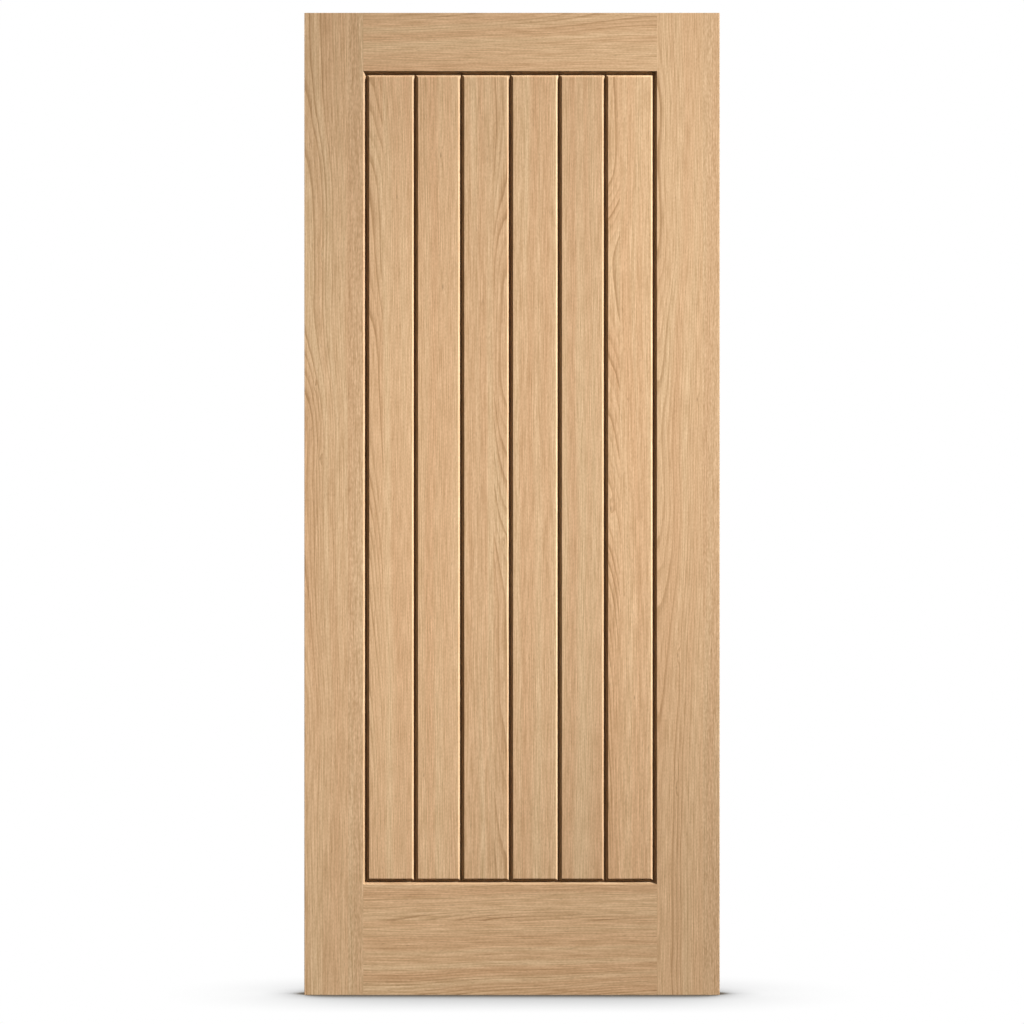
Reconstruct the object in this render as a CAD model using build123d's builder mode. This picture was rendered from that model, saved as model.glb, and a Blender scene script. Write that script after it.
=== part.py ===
"""Oak-veneered cottage fire door leaf: lipped stiles and rails round a solid core faced with V-jointed boards.

Millimetres. +Z is up, the front face looks along -Y, and the origin is the middle of the bottom edge.
"""

import os

from build123d import *

# Leaf, as the door trade sells it: 6 ft 6 in by 2 ft 9 in, 44 mm thick for half an hour of fire.
leaf_width = 838.0
leaf_height = 1981.0
leaf_thickness = 44.0

# Frame members, measured from the leaf's edge to the bottom of the V groove round the panel.
left_stile_width = 125.0
right_stile_width = 132.5
top_rail_height = 123.5
bottom_rail_height = 228.5

# Facings and edge strips of the frame members.
veneer_thickness = 0.6
outer_lipping_thickness = 10.0
inner_lipping_thickness = 16.0
arris = 1.0

# Panel: a core board housed in the frame, with tongued and grooved boards on both faces.
board_thickness = 12.0
narrow_board_width = 93.25
board_order = ["wide", "narrow", "wide", "wide", "narrow", "wide"]
groove_depth = 6.0
core_housing = 8.0
core_housing_clearance = 0.5
tongue_thickness = 3.0
tongue_length = 4.0
tongue_clearance = 0.15

# Sizes worked out from those above.
half_width = leaf_width / 2
face = leaf_thickness / 2
ground = face - veneer_thickness
mould = groove_depth - veneer_thickness
core_face = face - board_thickness
panel_left = left_stile_width - half_width
panel_right = half_width - right_stile_width
panel_bottom = bottom_rail_height
panel_top = leaf_height - top_rail_height
panel_width = panel_right - panel_left
panel_height = panel_top - panel_bottom
wide_board_width = (
    panel_width - board_order.count("narrow") * narrow_board_width
) / board_order.count("wide")
tongue_depth = (groove_depth + board_thickness) / 2

os.makedirs("parts", exist_ok=True)


def save(piece, name):
    """Labels a finished piece and writes it as a STEP file of its own."""
    piece.part.label = name
    export_step(piece.part, f"parts/{name}.step")


def across_leaf(side, outline):
    """Turns (distance in from a long edge, y) points into (x, y) points. Side is -1 for left, 1 for right."""
    return [(side * (half_width - inset), y) for inset, y in outline]


def full_height(outline):
    """A plan outline, standing the whole height of the leaf."""
    with BuildPart() as piece:
        with BuildSketch(Plane.XY):
            with BuildLine():
                Polyline(*outline, close=True)
            make_face()
        extrude(amount=leaf_height)
    return piece


def between_stiles(section):
    """A (y, z) section run across the leaf, with its ends scribed over the chamfers of the two stiles."""
    scribed_plan = [
        (panel_left, face - groove_depth),
        (panel_left - groove_depth, face),
        (panel_right + groove_depth, face),
        (panel_right, face - groove_depth),
        (panel_right, groove_depth - face),
        (panel_right + groove_depth, -face),
        (panel_left - groove_depth, -face),
        (panel_left, groove_depth - face),
    ]
    with BuildPart() as piece:
        with BuildSketch(Plane.YZ.offset(-half_width)):
            with BuildLine():
                Polyline(*section, close=True)
            make_face()
        extrude(amount=leaf_width)
        with BuildSketch(Plane.XY):
            with BuildLine():
                Polyline(*scribed_plan, close=True)
            make_face()
        extrude(amount=leaf_height, mode=Mode.INTERSECT)
    return piece


# Stiles


def stile_outer_lipping(side):
    """Solid oak strip on the long edge, with its corners eased."""
    eased = max(arris - veneer_thickness, 0.0)
    return full_height(
        across_leaf(
            side,
            [
                (eased, -ground),
                (outer_lipping_thickness, -ground),
                (outer_lipping_thickness, ground),
                (eased, ground),
                (0, ground - eased),
                (0, eased - ground),
            ],
        )
    )


def stile_core(side, width):
    """Laminated softwood between the two lippings."""
    inner = width - inner_lipping_thickness
    return full_height(
        across_leaf(
            side,
            [
                (outer_lipping_thickness, -ground),
                (inner, -ground),
                (inner, ground),
                (outer_lipping_thickness, ground),
            ],
        )
    )


def stile_inner_lipping(side, width):
    """Solid oak strip that carries the chamfers of the V groove, with a stopped housing for the panel core."""
    outline = across_leaf(
        side,
        [
            (width - inner_lipping_thickness, -ground),
            (width - mould, -ground),
            (width, mould - ground),
            (width, ground - mould),
            (width - mould, ground),
            (width - inner_lipping_thickness, ground),
        ],
    )
    housing = across_leaf(
        side,
        [
            (width - core_housing, -core_face),
            (width, -core_face),
            (width, core_face),
            (width - core_housing, core_face),
        ],
    )
    with BuildPart() as lipping:
        with BuildSketch(Plane.XY):
            with BuildLine():
                Polyline(*outline, close=True)
            make_face()
        extrude(amount=leaf_height)
        with BuildSketch(Plane.XY.offset(panel_bottom - core_housing)):
            with BuildLine():
                Polyline(*housing, close=True)
            make_face()
        extrude(amount=panel_height + 2 * core_housing, mode=Mode.SUBTRACT)
    return lipping


def stile_veneer(side, width, outward):
    """Oak leaf on one face of a stile. Outward is -1 for the front and 1 for the back."""
    return full_height(
        across_leaf(
            side,
            [
                (arris, outward * face),
                (width - groove_depth, outward * face),
                (width - mould, outward * ground),
                (max(arris - veneer_thickness, 0.0), outward * ground),
            ],
        )
    )


for stile, side, stile_width in (
    ("left", -1, left_stile_width),
    ("right", 1, right_stile_width),
):
    save(stile_outer_lipping(side), f"{stile}_outer_lipping")
    save(stile_core(side, stile_width), f"{stile}_stile_core")
    save(stile_inner_lipping(side, stile_width), f"{stile}_inner_lipping")
    save(stile_veneer(side, stile_width, -1), f"{stile}_stile_front_veneer")
    save(stile_veneer(side, stile_width, 1), f"{stile}_stile_back_veneer")


# Rails


def rail_core(outer, lipping_line):
    """Laminated softwood from the leaf's end to the inner lipping."""
    return between_stiles(
        [
            (-ground, outer),
            (ground, outer),
            (ground, lipping_line),
            (-ground, lipping_line),
        ]
    )


def rail_inner_lipping(lipping_line, inner, inward):
    """Solid oak strip along the panel, chamfered for the V groove and housed for the panel core."""
    return between_stiles(
        [
            (-ground, lipping_line),
            (ground, lipping_line),
            (ground, inner - inward * mould),
            (ground - mould, inner),
            (core_face, inner),
            (core_face, inner - inward * core_housing),
            (-core_face, inner - inward * core_housing),
            (-core_face, inner),
            (mould - ground, inner),
            (-ground, inner - inward * mould),
        ]
    )


def rail_veneer(outer, inner, inward, outward):
    """Oak leaf on one face of a rail. Outward is -1 for the front and 1 for the back."""
    return between_stiles(
        [
            (outward * face, outer),
            (outward * face, inner - inward * groove_depth),
            (outward * ground, inner - inward * mould),
            (outward * ground, outer),
        ]
    )


for rail, outer, inner, inward in (
    ("top", leaf_height, panel_top, -1),
    ("bottom", 0.0, panel_bottom, 1),
):
    lipping_line = inner - inward * inner_lipping_thickness
    save(rail_core(outer, lipping_line), f"{rail}_rail_core")
    save(rail_inner_lipping(lipping_line, inner, inward), f"{rail}_inner_lipping")
    save(rail_veneer(outer, inner, inward, -1), f"{rail}_rail_front_veneer")
    save(rail_veneer(outer, inner, inward, 1), f"{rail}_rail_back_veneer")


# Panel core

core_reach = core_housing - core_housing_clearance
with BuildPart() as panel_core:
    with BuildSketch(Plane.XY.offset(panel_bottom - core_reach)):
        with Locations(((panel_left + panel_right) / 2, 0)):
            Rectangle(panel_width + 2 * core_reach, 2 * core_face)
    extrude(amount=panel_height + 2 * core_reach)
save(panel_core, "panel_core")


# Boards


def tongue_edge(x, outward):
    """Right edge of a board, from its back to its face, with a tongue below the V groove."""
    near = outward * (face - tongue_depth - tongue_thickness / 2)
    far = outward * (face - tongue_depth + tongue_thickness / 2)
    return [
        (x, outward * core_face),
        (x, near),
        (x + tongue_length, near),
        (x + tongue_length, far),
        (x, far),
        (x, outward * face),
    ]


def grooved_edge(x, outward):
    """Left edge of a board, from its face to its back, with a groove round its neighbour's tongue."""
    half_slot = tongue_thickness / 2 + tongue_clearance
    near = outward * (face - tongue_depth - half_slot)
    far = outward * (face - tongue_depth + half_slot)
    bottom = x + tongue_length + tongue_clearance
    return [
        (x, outward * face),
        (x, far),
        (bottom, far),
        (bottom, near),
        (x, near),
        (x, outward * core_face),
    ]


def plain_edge(x, outward, rising):
    """Edge of an outer board that butts against a stile. Rising runs from the board's back to its face."""
    edge = [(x, outward * core_face), (x, outward * face)]
    return edge if rising else edge[::-1]


def board(left, width, outward, first, last):
    """One board of the panel: a tongued and grooved section with all four edges of its face chamfered."""
    right = left + width
    right_edge = plain_edge(right, outward, True) if last else tongue_edge(right, outward)
    left_edge = plain_edge(left, outward, False) if first else grooved_edge(left, outward)
    with BuildPart() as plank:
        with BuildSketch(Plane.XY.offset(panel_bottom)):
            with BuildLine():
                Polyline(*right_edge, *left_edge, close=True)
            make_face()
        extrude(amount=panel_height)
        board_face = plank.faces().filter_by(Axis.Y).sort_by(Axis.Y)[-1 if outward > 0 else 0]
        chamfer(board_face.edges(), length=groove_depth)
    return plank


for outward, facing in ((-1, "front"), (1, "back")):
    left = panel_left
    for number, kind in enumerate(board_order, start=1):
        width = wide_board_width if kind == "wide" else narrow_board_width
        plank = board(left, width, outward, number == 1, number == len(board_order))
        save(plank, f"{facing}_board_{number}")
        left += width
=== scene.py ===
# %% [markdown]
# # Dressing an oak fire door leaf
#
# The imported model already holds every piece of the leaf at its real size, so this lesson models nothing
# twice. It eases the sharp edges, gives each piece its wood, and sets up the camera, the floor and the
# lights. Everything is in metres, in the model's own frame: x runs to the right, z runs up, and the front
# looks along -y.

# %% Load the frame
import math

import bpy
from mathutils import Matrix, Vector


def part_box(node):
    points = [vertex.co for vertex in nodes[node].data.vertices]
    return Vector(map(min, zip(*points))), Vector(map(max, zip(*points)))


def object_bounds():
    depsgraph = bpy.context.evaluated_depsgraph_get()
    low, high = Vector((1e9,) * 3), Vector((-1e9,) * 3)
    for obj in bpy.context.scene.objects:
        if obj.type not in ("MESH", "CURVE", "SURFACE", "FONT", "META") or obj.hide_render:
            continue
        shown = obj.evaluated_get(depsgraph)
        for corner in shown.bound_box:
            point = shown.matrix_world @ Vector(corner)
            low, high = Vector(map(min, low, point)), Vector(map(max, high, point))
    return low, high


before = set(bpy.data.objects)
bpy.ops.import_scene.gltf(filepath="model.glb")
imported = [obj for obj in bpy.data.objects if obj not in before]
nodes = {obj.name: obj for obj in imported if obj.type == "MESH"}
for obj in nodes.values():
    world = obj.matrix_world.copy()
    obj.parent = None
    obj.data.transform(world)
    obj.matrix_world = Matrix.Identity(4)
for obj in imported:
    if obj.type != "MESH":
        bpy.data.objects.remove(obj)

MM = 0.001
cad_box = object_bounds()
print(f"{len(nodes)} pieces, from {tuple(cad_box[0])} to {tuple(cad_box[1])}")

# %% [markdown]
# ## Which piece is which
#
# The names sort the pieces by where they show. The front and back faces are veneers and boards, the inner
# lippings carry half of the V groove, and the outer lippings and the cores show only on the leaf's edges.

# %% Sort the pieces
BOARD_COUNT = 6
BOARDS = [f"board_{number}" for number in range(1, BOARD_COUNT + 1)]
MEMBERS = ["left_stile", "right_stile", "top_rail", "bottom_rail", *BOARDS]


def face_node(member, facing):
    """Name of the node that shows a member's face on the front or the back."""
    return f"{facing}_{member}" if member in BOARDS else f"{member}_{facing}_veneer"


inner_lippings = [name for name in nodes if name.endswith("inner_lipping")]
outer_lippings = [name for name in nodes if name.endswith("outer_lipping")]
lippings = inner_lippings + outer_lippings
frame_cores = [name for name in nodes if name.endswith(("stile_core", "rail_core"))]
print(f"{len(inner_lippings)} inner and {len(outer_lippings)} outer lippings, {len(frame_cores)} cores")

# %% [markdown]
# ## Easing the edges
#
# Every edge of sanded wood is slightly round, and light catches it. The edges could be rounded in edit
# mode, but a Bevel modifier rounds them without touching the mesh below it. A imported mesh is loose
# triangles, so a Weld modifier joins them first. Veneer is thin, and is rounded less.

# %% Ease the edges
WELD_DISTANCE = 0.02 * MM
EASED_EDGE = 0.25 * MM
VENEER_EDGE = 0.15 * MM
ROUND_SEGMENTS = 2
SHARP_ANGLE = math.radians(30)

for name, piece in nodes.items():
    weld = piece.modifiers.new("join_triangles", "WELD")
    weld.merge_threshold = WELD_DISTANCE
    eased = piece.modifiers.new("eased_edges", "BEVEL")
    eased.width = VENEER_EDGE if "veneer" in name else EASED_EDGE
    eased.segments = ROUND_SEGMENTS
    eased.limit_method = "ANGLE"
    eased.angle_limit = SHARP_ANGLE
    eased.harden_normals = True
print("edges eased by", EASED_EDGE / MM, "mm, and those of veneers by", VENEER_EDGE / MM, "mm")

# %% [markdown]
# ## Small tools for materials
#
# Colours are picked on screen as hex values, which are sRGB, and Blender's shaders want linear light, so
# one function converts them. Another adds one node, sets its options and connects or fills its inputs.
# The last two start a material and fill a colour ramp.

# %% Colour and node tools
# A Mix node has sockets of the same name for each kind of value, so they are picked by number.
NUMBER_A = 2
NUMBER_B = 3
COLOUR_A = 6
COLOUR_B = 7
COLOUR_RESULT = 2


def linear(hex_colour):
    """Turns an sRGB hex colour into linear RGBA."""
    channels = [int(hex_colour[start : start + 2], 16) / 255 for start in (1, 3, 5)]
    return (*[c / 12.92 if c <= 0.04045 else ((c + 0.055) / 1.055) ** 2.4 for c in channels], 1.0)


def add_node(tree, kind, inputs=None, **settings):
    """Adds a node to a tree, with its settings, and with sockets linked or values set on its inputs."""
    node = tree.nodes.new(kind)
    for setting, value in settings.items():
        setattr(node, setting, value)
    for socket, value in (inputs or {}).items():
        if isinstance(value, bpy.types.NodeSocket):
            tree.links.new(value, node.inputs[socket])
        else:
            node.inputs[socket].default_value = value
    return node


def start_material(name):
    """A new material, its node tree and its shader."""
    material = bpy.data.materials.new(name)
    material.use_nodes = True
    return material, material.node_tree, material.node_tree.nodes["Principled BSDF"]


def fill_ramp(ramp, stops):
    """Gives a colour ramp its (position, colour) stops, and returns its colour."""
    elements = ramp.color_ramp.elements
    elements.remove(elements[1])
    for number, (position, colour) in enumerate(stops):
        stop = elements.new(position) if number else elements[0]
        stop.position = position
        stop.color = colour
    return ramp.outputs["Color"]


WHITE = linear("#FFFFFF")
print("white is", WHITE)

# %% [markdown]
# ## The grain's own directions
#
# A stile's grain runs up and a rail's runs level, along the longer side of the piece. A Mapping node turns
# and centres the Object coordinates on each piece and counts them in millimetres, so that one recipe serves
# all of them: x is across the grain, y goes into the wood, and z runs along the grain. Marks in wood are
# long and thin, so the noise is stretched along z.

# %% Grain directions and stretched noise
ALONG_Z = (0.0, 0.0, 0.0)
ALONG_X = (0.0, math.radians(90), 0.0)
TURN_ROUND = (0.0, 0.0, math.radians(180))


def lie_of_grain(name):
    """Middle of a piece, and the turn that lays the grain along its longer side."""
    low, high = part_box(name)
    size = high - low
    return (low + high) / 2, ALONG_X if size.x > size.z else ALONG_Z


def grain_place(tree, centre, turn):
    """Place of a point in mm from the piece's centre: x across the grain, y into the wood, z along it."""
    place = add_node(tree, "ShaderNodeTexCoord").outputs["Object"]
    return add_node(
        tree, "ShaderNodeMapping",
        {"Vector": place, "Location": centre, "Rotation": turn, "Scale": (MM, MM, MM)},
        vector_type="TEXTURE",
    ).outputs[0]


def grain_marks(tree, place, size, seed):
    """Noise stretched along the grain, from its width and length in mm and its octaves of finer detail."""
    width, length, detail = size
    stretched = add_node(
        tree, "ShaderNodeVectorMath", {0: place, 1: (1 / width, 1 / width, 1 / length)},
        operation="MULTIPLY",
    ).outputs[0]
    return add_node(
        tree, "ShaderNodeTexNoise", {"Vector": stretched, "W": seed, "Scale": 1.0, "Detail": detail},
        noise_dimensions="4D",
    ).outputs


level_pieces = [name for name in nodes if lie_of_grain(name)[1] == ALONG_X]
print(len(level_pieces), "pieces have level grain")

# %% [markdown]
# ## How wood is finished
#
# No piece of the leaf is lacquered. Dry wood bends light about as much as most plant matter, which is an
# index of 1.5, and its roughness depends on how it was worked. Its pits and ridges are far smaller than a
# pixel. They could be cut into the mesh, but a Bump node shades them as if they were there.

# %% Finish a piece
WOOD_IOR = 1.5


def finish_wood(tree, shader, colour, relief, roughness, specular):
    """Gives a shader its colour, its bumps, and how rough and how shiny the wood is."""
    tree.links.new(colour, shader.inputs["Base Color"])
    tree.links.new(relief, shader.inputs["Normal"])
    shader.inputs["Roughness"].default_value = roughness
    shader.inputs["Specular IOR Level"].default_value = specular
    shader.inputs["IOR"].default_value = WOOD_IOR


def dress(name, material):
    """Gives a piece one material, in place of any that it has."""
    nodes[name].data.materials.clear()
    nodes[name].data.materials.append(material)


print("wood has a refractive index of", WOOD_IOR)

# %% [markdown]
# ## Where the pith runs
#
# A log's growth rings are tubes round its pith, the line at its heart, so the lines on a board are where
# its face cuts those tubes. Far to the side of the pith they run straight, and beside a pith that bends
# away they slant and close into arches. A flat picture of grain could be laid on each face, but rings
# made in three dimensions also turn the corner into the chamfers. Wide faces are joined from strips, so
# beyond a joint the pith lies elsewhere.

# %% The pith of a cut
SWAY = (200, 400, 1.0)
SWAY_REACH = (24.0, 30.0, 0.0)

# Each layer of noise starts this far from the seed of its piece, so that no two layers are alike.
LAYER_SEEDS = {
    "sway": 0, "ripple": 1, "vessels": 5, "pores": 6, "flecks": 7, "streaks": 20, "fibres": 21, "rays": 31,
}


def pith_line(tree, grain, cut):
    """Where the pith lies beside a point, across the grain and behind the face, in mm."""
    place = add_node(tree, "ShaderNodeSeparateXYZ", {0: grain}).outputs
    across = cut["pith"][0] - SWAY_REACH[0] / 2
    depth = cut["pith"][1] - SWAY_REACH[1] / 2
    for start, end, deeper in cut.get("bends", ()):
        bend = add_node(
            tree, "ShaderNodeMapRange",
            {"Value": place["Z"], "From Min": start, "From Max": end, "To Max": deeper},
            interpolation_type="SMOOTHSTEP",
        ).outputs[0]
        depth = add_node(tree, "ShaderNodeMath", {0: depth, 1: bend}, operation="ADD").outputs[0]
    pith = add_node(tree, "ShaderNodeCombineXYZ", {"X": across, "Y": depth}).outputs[0]
    sway = grain_marks(tree, grain, SWAY, cut["seed"] + LAYER_SEEDS["sway"])["Color"]
    pith = add_node(
        tree, "ShaderNodeVectorMath", {0: sway, 1: SWAY_REACH, 2: pith}, operation="MULTIPLY_ADD"
    ).outputs[0]
    if "strip" in cut:
        joint, sideways, behind = cut["strip"]
        beyond = add_node(
            tree, "ShaderNodeMath", {0: place["X"], 1: joint}, operation="GREATER_THAN"
        ).outputs[0]
        pith = add_node(
            tree, "ShaderNodeVectorMath", {0: beyond, 1: (sideways, behind, 0.0), 2: pith},
            operation="MULTIPLY_ADD",
        ).outputs[0]
    return pith


print("the pith sways by", SWAY_REACH[0], "mm across the grain and", SWAY_REACH[1], "mm in depth")

# %% [markdown]
# ## How far a point is from the pith
#
# That distance says in which ring a point lies. No tree grows perfect circles, so a slight ripple is
# added to it. A pin knot is the foot of a thin twig, and the rings swerve round it. A knot could be a
# spot of dark colour alone, but adding a little to the distance beside it makes the lines swerve too.

# %% Distance from the pith
LEVEL = (1.0, 1.0, 0.0)
RIPPLE = (16, 150, 2.0)
RIPPLE_REACH = 3.0
KNOT_STRETCH = 0.3
KNOT_PUSH = 2.0
KNOT_REACH = 4.0
KNOT_HEART = 0.1
KNOT_DARK = 0.5


def away_from(tree, grain, pith):
    """Which way and how far a point lies from the pith, square to the grain."""
    away = add_node(tree, "ShaderNodeVectorMath", {0: grain, 1: pith}, operation="SUBTRACT").outputs[0]
    return add_node(tree, "ShaderNodeVectorMath", {0: away, 1: LEVEL}, operation="MULTIPLY").outputs[0]


def ring_radius(tree, grain, away, ripple, seed):
    """Distance from the pith in mm, with a ripple."""
    radius = add_node(tree, "ShaderNodeVectorMath", {0: away}, operation="LENGTH").outputs["Value"]
    wave = grain_marks(tree, grain, ripple, seed)["Fac"]
    return add_node(
        tree, "ShaderNodeMath", {0: wave, 1: RIPPLE_REACH, 2: radius}, operation="MULTIPLY_ADD"
    ).outputs[0]


def swerve_round_knots(tree, grain, radius, cut):
    """Pushes the rings aside beside each knot, and says how dark the knot makes a point."""
    speck = 0.0
    for across, along, size in cut.get("knots", ()):
        beside = add_node(
            tree, "ShaderNodeVectorMath", {0: grain, 1: (across, 0.0, along)}, operation="SUBTRACT"
        ).outputs[0]
        beside = add_node(
            tree, "ShaderNodeVectorMath", {0: beside, 1: (1 / size, 0.0, KNOT_STRETCH / size)},
            operation="MULTIPLY",
        ).outputs[0]
        reach = add_node(tree, "ShaderNodeVectorMath", {0: beside}, operation="LENGTH").outputs["Value"]
        push = add_node(
            tree, "ShaderNodeMapRange",
            {"Value": reach, "From Max": KNOT_REACH, "To Min": KNOT_PUSH * size, "To Max": 0.0},
            interpolation_type="SMOOTHSTEP",
        ).outputs[0]
        radius = add_node(tree, "ShaderNodeMath", {0: radius, 1: push}, operation="ADD").outputs[0]
        dark = add_node(
            tree, "ShaderNodeMapRange",
            {"Value": reach, "From Min": KNOT_HEART, "To Min": KNOT_DARK, "To Max": 0.0},
            interpolation_type="SMOOTHSTEP",
        ).outputs[0]
        speck = add_node(tree, "ShaderNodeMath", {0: speck, 1: dark}, operation="MAXIMUM").outputs[0]
    return radius, speck


print("rings ripple by", RIPPLE_REACH, "mm, and swerve within", KNOT_REACH, "times the size of a knot")

# %% [markdown]
# ## One year of oak
#
# Oak starts each ring with a row of wide open pores, which shows as a thin dark line, and then grows dense,
# paler wood. Some years leave a stronger line than others, so a random number for each year sets how strong
# it is. The lines are boldest where the saw cut flat to the rings, and faint where it cut straight across
# them. A wave texture could draw rings too, but all of its lines would be alike.

# %% Ring lines
RING = 4.0
RING_LINE = [(0.0, 0.0), (0.08, 1.0), (0.26, 0.75), (0.42, 0.15), (0.75, 0.0)]
LINE_SHARE = (0.05, 0.64)
FLAT_SAWN = (0.45, 0.95)
STRAIGHT_LINE = 0.25
DENSE_FROM = 0.4
DENSE_WOOD = 1.02
YEAR_TONES = (1.01, 0.99)
YEAR_SEED_STEP = 17.3


def line_share(tree, vigour, away, cut):
    """How strong the line of a year is, from how it grew and how flat to it the saw cut."""
    outwards = add_node(tree, "ShaderNodeVectorMath", {0: away}, operation="NORMALIZE").outputs[0]
    outwards = add_node(tree, "ShaderNodeVectorMath", {0: outwards}, operation="ABSOLUTE").outputs[0]
    flat_sawn = add_node(tree, "ShaderNodeSeparateXYZ", {0: outwards}).outputs["Y"]
    strength = add_node(
        tree, "ShaderNodeMapRange",
        {"Value": flat_sawn, "From Min": FLAT_SAWN[0], "From Max": FLAT_SAWN[1], "To Min": STRAIGHT_LINE},
    ).outputs[0]
    boldest = LINE_SHARE[1] * cut.get("bold", 1.0)
    share = add_node(
        tree, "ShaderNodeMapRange", {"Value": vigour, "To Min": LINE_SHARE[0], "To Max": boldest}
    ).outputs[0]
    return add_node(tree, "ShaderNodeMath", {0: share, 1: strength}, operation="MULTIPLY").outputs[0]


def ring_lines(tree, radius, away, cut):
    """How much of a dark line a point shows, and how light its year and its part of the year are."""
    years = add_node(tree, "ShaderNodeMath", {0: radius, 1: RING}, operation="DIVIDE").outputs[0]
    season = add_node(tree, "ShaderNodeMath", {0: years}, operation="FRACT").outputs[0]
    year = add_node(tree, "ShaderNodeMath", {0: years}, operation="FLOOR").outputs[0]
    first_year = cut["seed"] * YEAR_SEED_STEP
    year = add_node(tree, "ShaderNodeMath", {0: year, 1: first_year}, operation="ADD").outputs[0]
    vigour = add_node(tree, "ShaderNodeTexWhiteNoise", {"W": year}, noise_dimensions="1D").outputs["Value"]
    share = line_share(tree, vigour, away, cut)
    pore_row = fill_ramp(
        add_node(tree, "ShaderNodeValToRGB", {"Fac": season}),
        [(position, (dark, dark, dark, 1.0)) for position, dark in RING_LINE],
    )
    line = add_node(tree, "ShaderNodeMath", {0: pore_row, 1: share}, operation="MULTIPLY").outputs[0]
    year_light = add_node(
        tree, "ShaderNodeMapRange", {"Value": vigour, "To Min": YEAR_TONES[0], "To Max": YEAR_TONES[1]}
    ).outputs[0]
    dense_light = add_node(
        tree, "ShaderNodeMapRange",
        {"Value": season, "From Min": DENSE_FROM, "To Min": 1.0, "To Max": DENSE_WOOD},
        interpolation_type="SMOOTHSTEP",
    ).outputs[0]
    light = add_node(
        tree, "ShaderNodeMath", {0: year_light, 1: dense_light}, operation="MULTIPLY"
    ).outputs[0]
    return line, light


print("one ring every", RING, "mm")

# %% [markdown]
# ## The fine marks in oak
#
# Between the rings, oak has broad pinkish and cream streaks, fine lines of vessels and short dark pores.
# Each kind of mark is one layer of stretched noise. Streaks and fibres follow the rings, so their noise is
# read by distance from the pith. One noise with many octaves would be simpler, but its marks would all have
# the same shape.

# %% Marks and their colours
# Width and length in mm, and octaves of detail. Real vessels are a third of a millimetre wide. They are
# drawn as wide as they need to be to show at 2 mm to the pixel.
MARKS = {"vessels": (1.8, 55, 0.0), "pores": (2.2, 12, 0.0), "flecks": (2.6, 5, 0.0)}
RING_MARKS = {"streaks": (17, 1300, 1.0), "fibres": (3.4, 300, 1.0)}
SWINGS = {"vessels": 0.62, "fibres": 0.06, "flecks": 0.27}
MARK_GAIN = (0.85, 1.05, 1.36)
UNCHANGED = (1.0, 1.0, 1.0)
OAK_STREAKS = [(0.32, linear("#D9AF84")), (0.5, linear("#DDB68B")), (0.68, linear("#E0BD92"))]
LINE_BROWN = linear("#A57A4D")
PORE_BROWN = linear("#86623F")
PORE_LIMITS = (0.66, 0.82)
PORE_SHARE = 0.22


def fine_marks(tree, grain, radius, seed):
    """Every layer of marks, by its name."""
    along = add_node(tree, "ShaderNodeSeparateXYZ", {0: grain}).outputs["Z"]
    ring_place = add_node(tree, "ShaderNodeCombineXYZ", {"X": radius, "Z": along}).outputs[0]
    marks = {}
    for place, sizes in ((grain, MARKS), (ring_place, RING_MARKS)):
        for mark, size in sizes.items():
            marks[mark] = grain_marks(tree, place, size, seed + LAYER_SEEDS[mark])["Fac"]
    return marks


def mark_colours(tree, marks, line, speck):
    """Colour from the streaks down to the ring lines, the pores and the knots, and how deep a pore is."""
    wood = fill_ramp(add_node(tree, "ShaderNodeValToRGB", {"Fac": marks["streaks"]}), OAK_STREAKS)
    ringed = add_node(
        tree, "ShaderNodeMix", {0: line, COLOUR_A: wood, COLOUR_B: LINE_BROWN}, data_type="RGBA"
    ).outputs[COLOUR_RESULT]
    low, high = PORE_LIMITS
    pore = add_node(
        tree, "ShaderNodeMapRange",
        {"Value": marks["pores"], "From Min": low, "From Max": high, "To Max": PORE_SHARE},
        interpolation_type="SMOOTHSTEP",
    ).outputs[0]
    pore = add_node(tree, "ShaderNodeMath", {0: pore, 1: speck}, operation="MAXIMUM").outputs[0]
    colour = add_node(
        tree, "ShaderNodeMix", {0: pore, COLOUR_A: ringed, COLOUR_B: PORE_BROWN}, data_type="RGBA"
    ).outputs[COLOUR_RESULT]
    return colour, pore


def mark_lights(tree, marks):
    """How much each kind of mark lightens or darkens a point."""
    lights = []
    for mark, swing in SWINGS.items():
        light = add_node(
            tree, "ShaderNodeMapRange",
            {"Value": marks[mark], "To Min": 1 - swing / 2, "To Max": 1 + swing / 2},
        )
        lights.append(light.outputs[0])
    return lights


def shade_colour(tree, colour, lights):
    """Lightens and darkens a colour by all its layers. Blue swings most, so dark marks are browner."""
    swing = 1.0
    for light in lights:
        swing = add_node(tree, "ShaderNodeMath", {0: swing, 1: light}, operation="MULTIPLY").outputs[0]
    swing = add_node(tree, "ShaderNodeMath", {0: swing, 1: 1.0}, operation="SUBTRACT").outputs[0]
    gain = add_node(
        tree, "ShaderNodeVectorMath", {0: swing, 1: MARK_GAIN, 2: UNCHANGED}, operation="MULTIPLY_ADD"
    ).outputs[0]
    return add_node(tree, "ShaderNodeVectorMath", {0: colour, 1: gain}, operation="MULTIPLY").outputs[0]


print(len(MARKS) + len(RING_MARKS), "layers of marks")

# %% [markdown]
# ## Ray fleck
#
# Rays are thin sheets of cells that run out from the pith. Where the saw ran along them they show as short
# slanting flecks, in a duller band along one side of the face. The flecks could be drawn one by one, but
# noise that is turned by their slant before it is stretched gives as many as the band needs.

# %% Ray fleck
RAY_FLECK = (2.6, 10.0, 9.0)
RAY_SLANT = math.radians(28)
RAY_TONES = (0.76, 1.20)
RAY_DULL = linear("#D3B088")
RAY_DULL_SHARE = 0.3
BAND_FADE = 1.0


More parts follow.
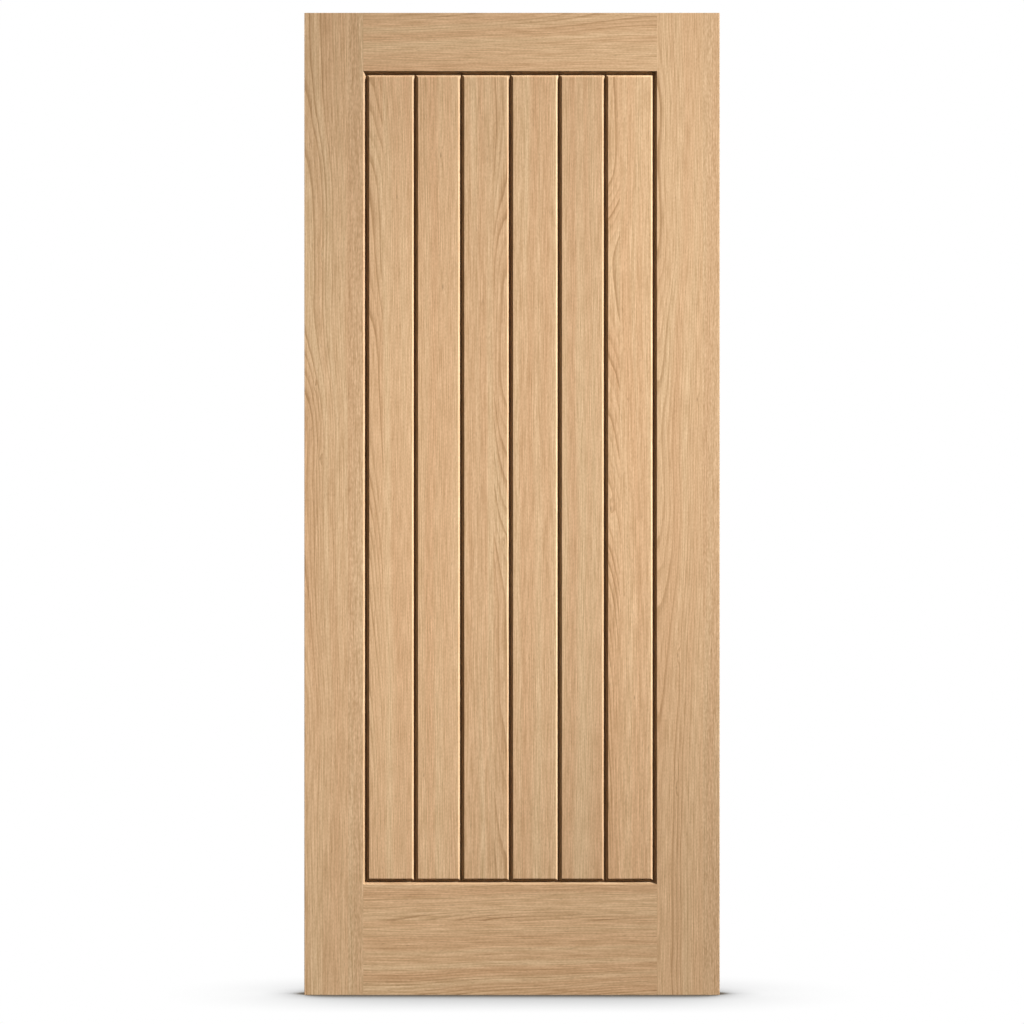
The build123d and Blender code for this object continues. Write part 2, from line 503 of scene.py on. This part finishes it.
def ray_fleck(tree, grain, colour, cut):
    """Colour with a duller band beside the place where the flecks start, and how light its flecks are."""
    across = add_node(tree, "ShaderNodeSeparateXYZ", {0: grain}).outputs["X"]
    start = cut["flecked"]
    band = add_node(
        tree, "ShaderNodeMapRange",
        {"Value": across, "From Min": start - BAND_FADE, "From Max": start + BAND_FADE},
    ).outputs[0]
    scale = tuple(1 / size for size in RAY_FLECK)
    slanted = add_node(
        tree, "ShaderNodeMapping", {"Vector": grain, "Rotation": (0.0, RAY_SLANT, 0.0), "Scale": scale}
    ).outputs[0]
    ray = add_node(
        tree, "ShaderNodeTexNoise",
        {"Vector": slanted, "W": cut["seed"] + LAYER_SEEDS["rays"], "Scale": 1.0, "Detail": 0.0},
        noise_dimensions="4D",
    ).outputs["Fac"]
    ray_light = add_node(
        tree, "ShaderNodeMapRange", {"Value": ray, "To Min": RAY_TONES[0], "To Max": RAY_TONES[1]}
    ).outputs[0]
    light = add_node(tree, "ShaderNodeMix", {0: band, NUMBER_A: 1.0, NUMBER_B: ray_light}).outputs[0]
    dull = add_node(tree, "ShaderNodeMath", {0: band, 1: RAY_DULL_SHARE}, operation="MULTIPLY").outputs[0]
    dulled = add_node(
        tree, "ShaderNodeMix", {0: dull, COLOUR_A: colour, COLOUR_B: RAY_DULL}, data_type="RGBA"
    ).outputs[COLOUR_RESULT]
    return dulled, light


print("ray flecks are about", RAY_FLECK[0], "by", RAY_FLECK[2], "mm")

# %% [markdown]
# ## Painted shade on the groove walls, and end grain
#
# The walls of the V grooves are darker than the sanded face: this is painted shade in the grooves, and it
# darkens the lit wall as well as the shaded one. End grain is darker than the face, and is painted darker
# still, as painted shade that tames the key light on the ends. Each could have a material of its own, but
# the direction that a facet looks in already tells them apart, so one material serves the whole piece.

# %% Painted groove shade and end grain, by direction
GROOVE_WALL_PAINTED_SHADE = 0.68
PAINTED_SHADE_LIMITS = (0.75, 0.95)
END_GRAIN_AND_PAINTED_SHADE = 0.4
END_LIMITS = (0.9, 0.98)


def tone_painted_shade_and_end_grain(tree, turn, cut):
    """The piece's own tone, with painted shade on its groove walls and on its darker end grain."""
    normal = add_node(tree, "ShaderNodeNewGeometry").outputs["True Normal"]
    normal = add_node(tree, "ShaderNodeVectorMath", {0: normal}, operation="ABSOLUTE").outputs[0]
    looking = add_node(tree, "ShaderNodeSeparateXYZ", {0: normal}).outputs
    # Painted shade: facets that look away from the front, the walls of the V grooves, are darkened, lit and
    # shaded walls alike.
    wall_tone = cut.get("wall", GROOVE_WALL_PAINTED_SHADE)
    low, high = PAINTED_SHADE_LIMITS
    wall = add_node(
        tree, "ShaderNodeMapRange",
        {"Value": looking["Y"], "From Min": low, "From Max": high, "To Min": wall_tone},
    ).outputs[0]
    # End grain is darker than the face, and this factor also paints shade on the ends against the bright
    # key light.
    along = looking["X" if turn[1] else "Z"]
    tone = cut["tone"]
    low, high = END_LIMITS
    end = add_node(
        tree, "ShaderNodeMapRange",
        {"Value": along, "From Min": low, "From Max": high, "To Min": tone, "To Max": tone * END_GRAIN_AND_PAINTED_SHADE},
    ).outputs[0]
    return add_node(tree, "ShaderNodeMath", {0: wall, 1: end}, operation="MULTIPLY").outputs[0]


print("groove walls have", GROOVE_WALL_PAINTED_SHADE, "of the face's brightness, and end grain", END_GRAIN_AND_PAINTED_SHADE)

# %% [markdown]
# ## Sanded oak
#
# The faces are sanded, unfinished oak, which is matt and pale tan. The recipe takes the steps above in
# turn: where the point lies in its log, its ring, its marks, and the painted shade on its groove walls and
# its darker end grain. Pores are pits, and the line of each ring sands a little lower, so both are sunk
# into the surface.

# %% Oak
OAK_ROUGHNESS = 0.62
OAK_SPECULAR = 0.3
PORE_DEPTH = 0.10 * MM


def oak(name, centre, turn, cut):
    """Sanded oak, with the grain of one cut of a log."""
    material, tree, shader = start_material(name)
    seed = cut["seed"]
    grain = grain_place(tree, centre, turn)
    away = away_from(tree, grain, pith_line(tree, grain, cut))
    radius = ring_radius(tree, grain, away, RIPPLE, seed + LAYER_SEEDS["ripple"])
    radius, speck = swerve_round_knots(tree, grain, radius, cut)
    line, year_light = ring_lines(tree, radius, away, cut)
    marks = fine_marks(tree, grain, radius, seed)
    colour, pore = mark_colours(tree, marks, line, speck)
    lights = [year_light, *mark_lights(tree, marks)]
    if "flecked" in cut:
        colour, ray_light = ray_fleck(tree, grain, colour, cut)
        lights.append(ray_light)
    shaded = shade_colour(tree, colour, lights)
    # Painted shade on the groove walls and on the ends darkens the colour here.
    brightness = tone_painted_shade_and_end_grain(tree, turn, cut)
    colour = add_node(
        tree, "ShaderNodeVectorMath", {0: shaded, "Scale": brightness}, operation="SCALE"
    ).outputs[0]
    hollow = add_node(tree, "ShaderNodeMath", {0: pore, 1: line}, operation="ADD").outputs[0]
    relief = add_node(
        tree, "ShaderNodeBump", {"Height": hollow, "Strength": 1.0, "Distance": PORE_DEPTH}, invert=True
    ).outputs[0]
    finish_wood(tree, shader, colour, relief, OAK_ROUGHNESS, OAK_SPECULAR)
    return material


print("oak has a roughness of", OAK_ROUGHNESS)

# %% [markdown]
# ## A different cut for each piece
#
# Stiles and boards have upright grain and rails have level grain. Each takes its own cut of the log, read
# from the photo: most boards are cut beside the pith and run straight, and some show one side of the arches
# at an edge. The back takes the same cuts from other trees, so no two faces are alike.

# %% Oak on the faces
# All places are in mm from the middle of the face. The pith is so far across and behind it, and each bend,
# (from, to, deeper), is a stretch where it goes deeper. A strip is (joint, across, behind): where a second
# strip starts, and how far its pith has moved. Knots are (across, along, size), and flecked is where a band
# of ray fleck starts. Tone scales the brightness, bold scales the ring lines, and seed picks the tree.
CUTS = {
    "left_stile": {
        "pith": (-66.0, 25.0), "bends": [(-500, -100, 20), (120, 420, 18), (520, 960, 18)], "seed": 1.3,
        "tone": 1.0, "strip": (28.0, -120.0, 60.0), "flecked": 28.0,
        "knots": [(-28.6, 91.0, 2.0), (-37.7, 240.0, 1.2), (-24.0, 503.0, 1.5), (-14.5, 579.0, 1.0)],
    },
    "right_stile": {
        "pith": (-70.0, 85.0), "bends": [(-500, 100, -20), (100, 700, -22)], "seed": 2.9, "tone": 1.035,
        "strip": (30.0, -80.0, 40.0), "flecked": 30.0,
        "knots": [(18.0, 210.0, 2.0), (-20.6, -306.0, 2.0), (-23.4, -573.0, 1.5)],
    },
    "top_rail": {"pith": (-70.0, 25.0), "bends": [(-340, 340, 28)], "seed": 4.2, "tone": 1.0},
    "bottom_rail": {
        "pith": (-28.0, 46.0), "bends": [(-320, 320, -28)], "seed": 5.6, "tone": 1.0, "bold": 1.6,
        "strip": (-38.0, 190.0, 30.0),
    },
    "board_1": {
        "pith": (-66.0, 25.0), "bends": [(-1000, 200, 45), (-200, 1000, 45)], "seed": 7.1, "tone": 1.05,
        "bold": 0.95, "strip": (-18.0, -60.0, -20.0), "knots": [(10.7, 567.0, 2.0), (22.8, -58.0, 1.2)],
    },
    "board_2": {
        "pith": (-95.0, 45.0), "seed": 8.8, "tone": 1.047,
        "knots": [(7.0, 385.0, 3.0), (3.2, 650.0, 2.5), (-31.0, -600.0, 1.5)],
    },
    "board_3": {
        "pith": (160.0, 50.0), "bends": [(-900, -100, -20), (-260, 280, -26), (280, 640, 14)], "seed": 9.4,
        "tone": 1.01, "strip": (14.0, -104.0, 56.0), "knots": [(34.5, -125.0, 1.5)],
    },
    "board_4": {"pith": (150.0, 70.0), "seed": 11.7, "tone": 1.02},
    "board_5": {"pith": (-150.0, 60.0), "seed": 12.2, "tone": 0.98},
    "board_6": {
        "pith": (-56.0, 20.0), "bends": [(-800, 0, 30), (-220, 380, 50), (430, 640, -24)], "seed": 14.5,
        "tone": 1.075, "bold": 1.3, "strip": (-20.0, -90.0, -20.0),
        "knots": [(-38.0, -62.0, 2.5), (-4.0, 159.0, 1.5), (9.5, -443.0, 2.0)],
    },
}
BACK_SEED = 40.0

for facing in ("front", "back"):
    for member in MEMBERS:
        node = face_node(member, facing)
        middle, turn = lie_of_grain(node)
        cut = dict(CUTS[member])
        middle.y = cad_box[0].y
        if facing == "back":
            middle.y = cad_box[1].y
            turn = Vector(turn) + Vector(TURN_ROUND)
            cut["seed"] += BACK_SEED
        dress(node, oak(f"sanded_oak_{facing}_{member}", tuple(middle), tuple(turn), cut))
print(2 * len(MEMBERS), "cuts of oak")

# %% [markdown]
# ## Lippings
#
# The lippings are strips of solid oak glued round the cores, so their edges can be planed when the leaf is
# hung. They are narrow and cut well away from the pith, so their lines run straight. Only the inner ones
# carry a groove, so the outer ones get no painted groove shade.

# %% Oak on the lippings
LIPPING_PITH = (120.0, 80.0)
LIPPING_SEED = 60.0

for number, name in enumerate(lippings):
    middle, turn = lie_of_grain(name)
    cut = {"pith": LIPPING_PITH, "seed": LIPPING_SEED + number, "tone": 1.0}
    # The outer lippings have no groove, so they get no painted groove shade.
    if name in outer_lippings:
        cut["wall"] = 1.0
    dress(name, oak(f"sanded_oak_{name}", tuple(middle), turn, cut))
print(len(lippings), "lippings")

# %% [markdown]
# ## Softwood cores
#
# The cores of the stiles and rails are staves of sawn softwood glued side by side, and they show on the
# top and bottom edges of the leaf. Softwood rings are pale in spring and end the year in a hard orange
# line. Each stave comes from another place in the tree, so a random number for each one moves its pith.
# The saw leaves a dry surface, with shallow ridges across the grain.

# %% Softwood
STAVE = 34.0
STAVE_REACH = (-70.0, -60.0, 0.0)
STAVE_NEAREST = (35.0, -15.0, 0.0)
STAVE_TONES = (0.88, 1.04)
GLUE_LINE = 0.012
GLUE_BROWN = linear("#8A5F38")
SOFT_RING = 4.2
SOFT_RIPPLE = (14, 120, 2.0)
SOFT_FIBRES = (1.6, 60, 1.0)
FIBRE_TONES = (0.85, 1.15)
FIBRE_SEED = 2
SOFT_YEAR = [
    (0.0, linear("#E9CD9E")), (0.55, linear("#E3C08B")), (0.86, linear("#C08E55")),
    (0.95, linear("#B98249")), (1.0, linear("#E4C592")),
]
SAW_MARK = 3.2
SAW_DEPTH = 0.06 * MM
SAWN_ROUGHNESS = 0.8
SAWN_SPECULAR = 0.25
CORE_SEED_STEP = 11.0


def stave_rings(tree, grain, chance, seed):
    """Colour of the year that a point of a stave grew in."""
    pith = add_node(
        tree, "ShaderNodeVectorMath", {0: chance, 1: STAVE_REACH, 2: STAVE_NEAREST},
        operation="MULTIPLY_ADD",
    ).outputs[0]
    radius = ring_radius(tree, grain, away_from(tree, grain, pith), SOFT_RIPPLE, seed)
    years = add_node(tree, "ShaderNodeMath", {0: radius, 1: SOFT_RING}, operation="DIVIDE").outputs[0]
    season = add_node(tree, "ShaderNodeMath", {0: years}, operation="FRACT").outputs[0]
    return fill_ramp(add_node(tree, "ShaderNodeValToRGB", {"Fac": season}), SOFT_YEAR)


def softwood(name, centre, turn, seed):
    """Sawn softwood in glued staves, which differ a little in tone."""
    material, tree, shader = start_material(name)
    grain = grain_place(tree, centre, turn)
    place = add_node(tree, "ShaderNodeSeparateXYZ", {0: grain}).outputs
    stave = add_node(tree, "ShaderNodeMath", {0: place["X"], 1: STAVE}, operation="DIVIDE").outputs[0]
    number = add_node(tree, "ShaderNodeMath", {0: stave}, operation="FLOOR").outputs[0]
    number = add_node(tree, "ShaderNodeMath", {0: number, 1: seed}, operation="ADD").outputs[0]
    chance = add_node(tree, "ShaderNodeTexWhiteNoise", {"W": number}, noise_dimensions="1D").outputs
    wood = stave_rings(tree, grain, chance["Color"], seed)
    edge = add_node(tree, "ShaderNodeMath", {0: stave, 1: 1.0}, operation="PINGPONG").outputs[0]
    seam = add_node(tree, "ShaderNodeMath", {0: edge, 1: GLUE_LINE}, operation="LESS_THAN").outputs[0]
    glued = add_node(
        tree, "ShaderNodeMix", {0: seam, COLOUR_A: wood, COLOUR_B: GLUE_BROWN}, data_type="RGBA"
    ).outputs[COLOUR_RESULT]
    fibres = grain_marks(tree, grain, SOFT_FIBRES, seed + FIBRE_SEED)["Fac"]
    brightness = 1.0
    for layer, (darkest, lightest) in ((chance["Value"], STAVE_TONES), (fibres, FIBRE_TONES)):
        light = add_node(
            tree, "ShaderNodeMapRange", {"Value": layer, "To Min": darkest, "To Max": lightest}
        ).outputs[0]
        brightness = add_node(
            tree, "ShaderNodeMath", {0: brightness, 1: light}, operation="MULTIPLY"
        ).outputs[0]
    colour = add_node(
        tree, "ShaderNodeVectorMath", {0: glued, "Scale": brightness}, operation="SCALE"
    ).outputs[0]
    stroke = add_node(
        tree, "ShaderNodeMath", {0: place["Z"], 1: SAW_MARK / 2}, operation="PINGPONG"
    ).outputs[0]
    ridges = add_node(tree, "ShaderNodeMath", {0: stroke, 1: fibres}, operation="MULTIPLY").outputs[0]
    relief = add_node(
        tree, "ShaderNodeBump", {"Height": ridges, "Strength": 1.0, "Distance": SAW_DEPTH}
    ).outputs[0]
    finish_wood(tree, shader, colour, relief, SAWN_ROUGHNESS, SAWN_SPECULAR)
    return material


for number, name in enumerate(frame_cores):
    middle, turn = lie_of_grain(name)
    dress(name, softwood(f"sawn_softwood_{name}", tuple(middle), turn, CORE_SEED_STEP * number))
print(len(frame_cores), "softwood cores")

# %% [markdown]
# ## Core board
#
# The board inside the panel is pressed from wood chips. The oak hides it completely, but it is there if a
# piece is taken off, so it gets a plain finish of its own: Voronoi cells of mixed browns, each one a chip.

# %% Pressed core board
CHIP = (6.0, 6.0, 14.0)
CHIP_BROWNS = [(0.0, linear("#8B6B47")), (0.5, linear("#B08C60")), (1.0, linear("#C9A878"))]
CHIP_DEPTH = 0.15 * MM
PRESSED_ROUGHNESS = 0.85
PRESSED_SPECULAR = 0.5

material, tree, shader = start_material("pressed_chip_core")
middle, turn = lie_of_grain("panel_core")
grain = grain_place(tree, tuple(middle), turn)
chips = add_node(
    tree, "ShaderNodeVectorMath", {0: grain, 1: tuple(1 / size for size in CHIP)}, operation="MULTIPLY"
).outputs[0]
chip = add_node(tree, "ShaderNodeTexVoronoi", {"Vector": chips, "Scale": 1.0}).outputs
brown = fill_ramp(add_node(tree, "ShaderNodeValToRGB", {"Fac": chip["Color"]}), CHIP_BROWNS)
relief = add_node(
    tree, "ShaderNodeBump", {"Height": chip["Distance"], "Strength": 1.0, "Distance": CHIP_DEPTH}
).outputs[0]
finish_wood(tree, shader, brown, relief, PRESSED_ROUGHNESS, PRESSED_SPECULAR)
dress("panel_core", material)
print("core board of chips up to", max(CHIP), "mm long")

# %% [markdown]
# ## Camera
#
# The photo looks squarely at the front from about the leaf's own half height, and its sides hardly
# converge, so the camera stands well back with a long lens. The lens follows from how many millimetres
# one pixel of the photo covers.

# %% Camera
CAMERA_DISTANCE = 8.0
CAMERA_HEIGHT = 0.974
SENSOR = 36.0
PHOTO_WIDTH = 1024
MM_PER_PIXEL = 2.0173
view_width = PHOTO_WIDTH * MM_PER_PIXEL * MM

bpy.ops.object.select_all(action="DESELECT")
bpy.ops.object.camera_add(
    location=(0.0, cad_box[0].y - CAMERA_DISTANCE, CAMERA_HEIGHT), rotation=(math.radians(90), 0.0, 0.0)
)
camera = bpy.context.object
camera.data.sensor_width = SENSOR
camera.data.lens = SENSOR * CAMERA_DISTANCE / view_width
bpy.context.scene.camera = camera
print("lens", round(camera.data.lens, 1), "mm")

# %% [markdown]
# ## Floor
#
# The leaf stands on a white sweep, pure white as if brightly lit, with a painted soft shadow near the leaf
# and a painted thin brown contact shadow where it touches. A lit plane would need very bright lights to
# burn out evenly. Here the floor glows for the camera alone, and ambient occlusion paints the shadows onto
# it: a wide one for the soft shadow, a narrow one for the contact line.

# %% Floor
FLOOR_SIZE = 60.0
WIDE_SHADE = 0.30
CONTACT_SHADE = 0.09
CONTACT_SHADOW_TONES = [
    (0.66, linear("#968B7D")), (0.78, linear("#DAD9D8")), (0.88, linear("#F3F3F3")), (1.0, WHITE),
]

bpy.ops.object.select_all(action="DESELECT")
bpy.ops.mesh.primitive_plane_add(size=FLOOR_SIZE, location=(0.0, 0.0, 0.0))
floor = bpy.context.object
floor.name = "floor"
paper, tree, shader = start_material("white_sweep_painted_shadow")
tree.nodes.remove(shader)
sight = add_node(tree, "ShaderNodeLightPath").outputs["Is Camera Ray"]
# Painted shadow: two ambient occlusion terms darken the glowing floor round the leaf's foot.
wide = add_node(tree, "ShaderNodeAmbientOcclusion", {"Distance": WIDE_SHADE}).outputs["AO"]
near = add_node(tree, "ShaderNodeAmbientOcclusion", {"Distance": CONTACT_SHADE}).outputs["AO"]
painted_contact_shadow = fill_ramp(add_node(tree, "ShaderNodeValToRGB", {"Fac": near}), CONTACT_SHADOW_TONES)
painted_floor_shadow = add_node(tree, "ShaderNodeVectorMath", {0: painted_contact_shadow, "Scale": wide}, operation="SCALE").outputs[0]
glow = add_node(tree, "ShaderNodeEmission", {"Color": painted_floor_shadow, "Strength": sight}).outputs[0]
tree.links.new(glow, tree.nodes["Material Output"].inputs["Surface"])
floor.data.materials.append(paper)
print("floor", FLOOR_SIZE, "m wide")

# %% [markdown]
# ## Background
#
# The background is white where the camera looks at it, and only a dim, warm fill for everything else, which
# keeps the shaded groove walls brown. The Standard view transform leaves the white pure and the colours as
# given.

# %% Background
FILL = (0.205, 0.172, 0.144, 1.0)

world = bpy.data.worlds.new("white_studio")
bpy.context.scene.world = world
world.use_nodes = True
tree = world.node_tree
sight = add_node(tree, "ShaderNodeLightPath").outputs["Is Camera Ray"]
surroundings = add_node(
    tree, "ShaderNodeMix", {0: sight, COLOUR_A: FILL, COLOUR_B: WHITE}, data_type="RGBA"
).outputs[COLOUR_RESULT]
tree.links.new(surroundings, tree.nodes["Background"].inputs["Color"])
bpy.context.scene.view_settings.view_transform = "Standard"
print("fill light", FILL[:3])

# %% [markdown]
# ## Lights
#
# The light in the photo rakes down across the face from the upper right: one wall of each V groove shines
# and the other is in shade. A sun gives that even, hard light, and a narrow spot from the same direction
# adds the brighter band across the face. The back has the same pair, turned round. The edges of the leaf
# look straight at those lamps and would burn out, so light linking keeps the lamps to the faces, and two
# weak suns light the edges.

# %% Lights
KEY_DIRECTION = Vector((0.80, -0.265, 0.53)).normalized()
KEY_STRENGTH = 7.1
KEY_ANGLE = math.radians(1)
SPOT_TARGET = Vector((1.5, 0.0, 2.049))
SPOT_DISTANCE = 34.86
SPOT_HALF_ANGLE = 0.03
SPOT_POWER = 64000.0
SPOT_RADIUS = 0.3
EDGE_DIRECTION = Vector((0.6, -0.5, 0.4)).normalized()
EDGE_STRENGTH = 2.8
EDGE_ANGLE = math.radians(10)
SUN_DISTANCE = 5.0


def lit_collection(name, members):
    """A collection that says which pieces a light falls on."""
    collection = bpy.data.collections.new(name)
    for member in members:
        collection.objects.link(nodes[member])
    return collection


def add_lamp(kind, name, target, towards_lamp, distance, collection):
    """Adds a lamp that shines on a target from a direction, on the pieces of one collection."""
    bpy.ops.object.light_add(type=kind, location=target + towards_lamp * distance)
    lamp = bpy.context.object
    lamp.name = name
    lamp.rotation_mode = "QUATERNION"
    lamp.rotation_quaternion = (-towards_lamp).to_track_quat("-Z", "Y")
    lamp.light_linking.receiver_collection = collection
    return lamp.data


edge_names = outer_lippings + frame_cores
edge_pieces = lit_collection("lit_edges", edge_names)
face_pieces = lit_collection("lit_faces", [name for name in nodes if name not in edge_names])
for facing, sign in (("front", 1), ("back", -1)):
    turned = Vector((sign, sign, 1))
    to_key = KEY_DIRECTION * turned
    key = add_lamp("SUN", f"{facing}_key", Vector(), to_key, SUN_DISTANCE, face_pieces)
    key.energy = KEY_STRENGTH
    key.angle = KEY_ANGLE
    spot = add_lamp("SPOT", f"{facing}_spot", SPOT_TARGET * turned, to_key, SPOT_DISTANCE, face_pieces)
    spot.energy = SPOT_POWER
    spot.spot_size = 2 * SPOT_HALF_ANGLE
    spot.spot_blend = 1.0
    spot.shadow_soft_size = SPOT_RADIUS
    to_edge_light = EDGE_DIRECTION * turned
    edge = add_lamp("SUN", f"{facing}_edge_light", Vector(), to_edge_light, SUN_DISTANCE, edge_pieces)
    edge.energy = EDGE_STRENGTH
    edge.angle = EDGE_ANGLE
print("key, spot and edge light on the front and on the back")
